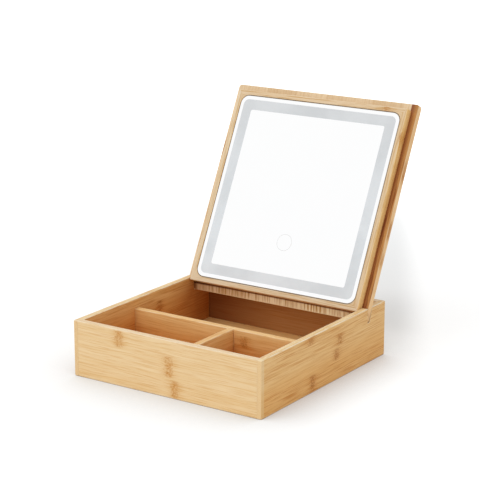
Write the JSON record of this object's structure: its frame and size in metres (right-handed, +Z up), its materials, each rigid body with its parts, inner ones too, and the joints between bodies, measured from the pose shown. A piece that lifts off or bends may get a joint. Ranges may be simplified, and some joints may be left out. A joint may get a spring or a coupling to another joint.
{
  "type": "vanity box with mirror",
  "caption": "Low bamboo vanity box with open compartments; its lift-off lid stands leaning back in slots in the side walls and holds a mirror with a frosted light band.",
  "frame": {"origin": "centre of the box's footprint, on the surface that it stands on", "axes": "+X to the user's right, +Y to the back, where the lid leans, +Z up"},
  "size_m": [0.205, 0.2751, 0.2314],
  "materials": {
    "bamboo_across": "satin varnish, grain along X",
    "bamboo_along": "satin varnish, grain along Y",
    "bamboo_lid": "satin varnish, grain up the lid",
    "bamboo_frame": "satin varnish, grain across the lid",
    "bottom_board": "plain sanded board",
    "mirror": "polished, with a frosted band",
    "foam": "matt foam tape",
    "opal": "opal acrylic",
    "strip_film": "white flexible circuit",
    "light_chip": "yellow phosphor",
    "wire_cover": "red wire cover",
    "battery_wrap": "silver foil pouch",
    "circuit_board": "green solder mask",
    "component": "black moulded packages",
    "socket_steel": "drawn steel shell"
  },
  "bodies": {
    "box": {"front_wall": "bamboo_across", "back_wall": "bamboo_across", "left_wall": "bamboo_along", "right_wall": "bamboo_along", "bottom_panel": "bottom_board", "cross_divider": "bamboo_across", "front_divider": "bamboo_along"},
    "lid": {"lid_panel": "bamboo_lid", "mirror_frame": "bamboo_frame", "mirror_glass": "mirror", "glass_tape": "foam", "glass_pads": "foam", "light_diffuser": "opal", "light_strip": "strip_film", "light_chips": "light_chip", "light_wires": "wire_cover", "battery_cell": "battery_wrap", "battery_tape": "foam", "battery_wires": "wire_cover", "driver_board": "circuit_board", "board_tape": "foam", "board_components": "component", "touch_sensor": "circuit_board", "touch_wires": "wire_cover", "charging_socket": "socket_steel", "charging_wires": "wire_cover"}
  },
  "joints": [
    {"name": "lid_lift", "type": "slide", "parent": "box", "child": "lid", "axis": [0, 0.4462, 0.8949], "range_m": [0, 0.05]}
  ]
}
